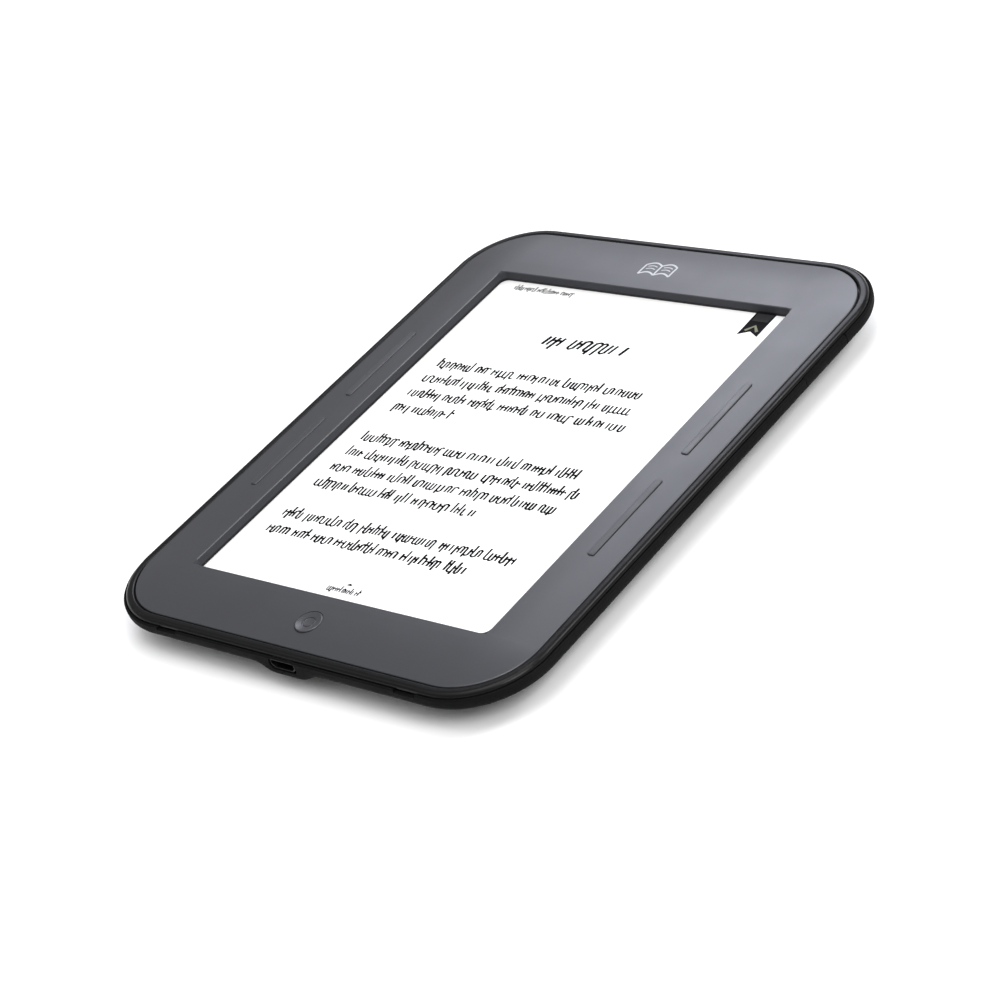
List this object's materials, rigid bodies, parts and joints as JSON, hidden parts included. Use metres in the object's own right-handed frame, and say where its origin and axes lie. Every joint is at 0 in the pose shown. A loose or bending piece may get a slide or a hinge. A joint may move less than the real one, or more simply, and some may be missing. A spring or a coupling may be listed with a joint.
{
  "type": "electronic reading tablet",
  "caption": "Slim electronic paper reader with a rounded outline, sunken screen, ridged page keys in the side bezels, a round home button and a soft sloping back.",
  "frame": {"origin": "centre of the outline, on the flat land of the back that it lies on", "axes": "+X to the reader's right, +Y to the top edge of the screen, +Z out of the screen"},
  "size_m": [0.127, 0.165, 0.0118],
  "materials": {
    "cover_rubber": "soft-touch coat with a fine woven-looking texture",
    "rim_satin": "satin black",
    "bezel_matte": "fine matte slate grey",
    "key_matte": "fine matte slate grey",
    "filter_dark": "infrared-clear dark acrylic",
    "page_film": "matte anti-glare film over white electronic ink",
    "panel_glass": "thin backplane glass",
    "light_metal": "pressed plate",
    "steel": "plated sheet",
    "screw_steel": "blackened",
    "board_green": "solder mask over glass fibre",
    "chip_black": "moulded epoxy",
    "flex_amber": "polyimide film",
    "connector_cream": "moulded nylon",
    "silicone_grey": "soft silicone",
    "foam_black": "closed-cell foam",
    "tape_white": "double-sided tape",
    "pouch_foil": "laminated foil",
    "tray_plastic": "moulded tray",
    "lead_insulation": "wire insulation"
  },
  "bodies": {
    "reader": {"rear_cover": "cover_rubber", "outer_rim": "rim_satin", "front_bezel": "bezel_matte", "infrared_filter": "filter_dark", "card_door_pin": "screw_steel", "display_glass": "panel_glass", "epaper_film": "page_film", "display_driver": "chip_black", "display_flex": "flex_amber", "display_connector": "connector_cream", "display_tape": "tape_white", "display_gasket": "foam_black", "touch_board": "board_green", "infrared_emitters": "chip_black", "infrared_detectors": "chip_black", "touch_flex": "flex_amber", "touch_connector": "connector_cream", "home_button_pad": "silicone_grey", "home_dome": "steel", "power_button_pad": "silicone_grey", "power_switch": "chip_black", "power_board": "board_green", "chassis_plate": "light_metal", "chassis_screws": "screw_steel", "battery_tray": "tray_plastic", "battery_tray_screws": "screw_steel", "battery_pouch": "pouch_foil", "battery_tape": "tape_white", "battery_protection_board": "board_green", "battery_leads": "lead_insulation", "battery_plug": "connector_cream", "battery_socket": "connector_cream", "main_board": "board_green", "board_screws": "screw_steel", "processor_shield": "steel", "processor_chip": "chip_black", "memory_chips": "chip_black", "radio_shield": "steel", "radio_chip": "chip_black", "board_components": "chip_black", "antenna": "flex_amber", "antenna_cable": "lead_insulation", "usb_socket": "steel", "card_socket": "steel", "key_flex_left": "flex_amber", "key_flex_right": "flex_amber", "key_domes_left": "steel", "key_domes_right": "steel", "page_key_pads_left_upper": "silicone_grey", "page_key_pads_left_lower": "silicone_grey", "page_key_pads_right_upper": "silicone_grey", "page_key_pads_right_lower": "silicone_grey"},
    "page_key_left_upper": {"page_key_left_upper": "key_matte"},
    "page_key_left_lower": {"page_key_left_lower": "key_matte"},
    "page_key_right_upper": {"page_key_right_upper": "key_matte"},
    "page_key_right_lower": {"page_key_right_lower": "key_matte"},
    "home_button": {"home_button": "key_matte"},
    "power_button": {"power_button": "cover_rubber"},
    "card_door": {"card_door": "cover_rubber"}
  },
  "joints": [
    {"name": "page_key_left_upper_press", "type": "slide", "parent": "reader", "child": "page_key_left_upper", "axis": [0, 0, -1], "range_m": [0, 0.0004], "stiffness_N_per_m": 3000, "deforming": ["page_key_pads_left_upper"]},
    {"name": "page_key_left_lower_press", "type": "slide", "parent": "reader", "child": "page_key_left_lower", "axis": [0, 0, -1], "range_m": [0, 0.0004], "stiffness_N_per_m": 3000, "deforming": ["page_key_pads_left_lower"]},
    {"name": "page_key_right_upper_press", "type": "slide", "parent": "reader", "child": "page_key_right_upper", "axis": [0, 0, -1], "range_m": [0, 0.0004], "stiffness_N_per_m": 3000, "deforming": ["page_key_pads_right_upper"]},
    {"name": "page_key_right_lower_press", "type": "slide", "parent": "reader", "child": "page_key_right_lower", "axis": [0, 0, -1], "range_m": [0, 0.0004], "stiffness_N_per_m": 3000, "deforming": ["page_key_pads_right_lower"]},
    {"name": "home_button_press", "type": "slide", "parent": "reader", "child": "home_button", "axis": [0, 0, -1], "range_m": [0, 0.0004], "stiffness_N_per_m": 3000, "deforming": ["home_button_pad"]},
    {"name": "power_button_press", "type": "slide", "parent": "reader", "child": "power_button", "axis": [0, 0, 1], "range_m": [0, 0.0004], "stiffness_N_per_m": 3500, "deforming": ["power_button_pad"]},
    {"name": "card_door_hinge", "type": "hinge", "parent": "reader", "child": "card_door", "pos_m": [0.06272, 0.047, 0.00897], "axis": [0, -1, 0], "range_deg": [0, 95]}
  ]
}
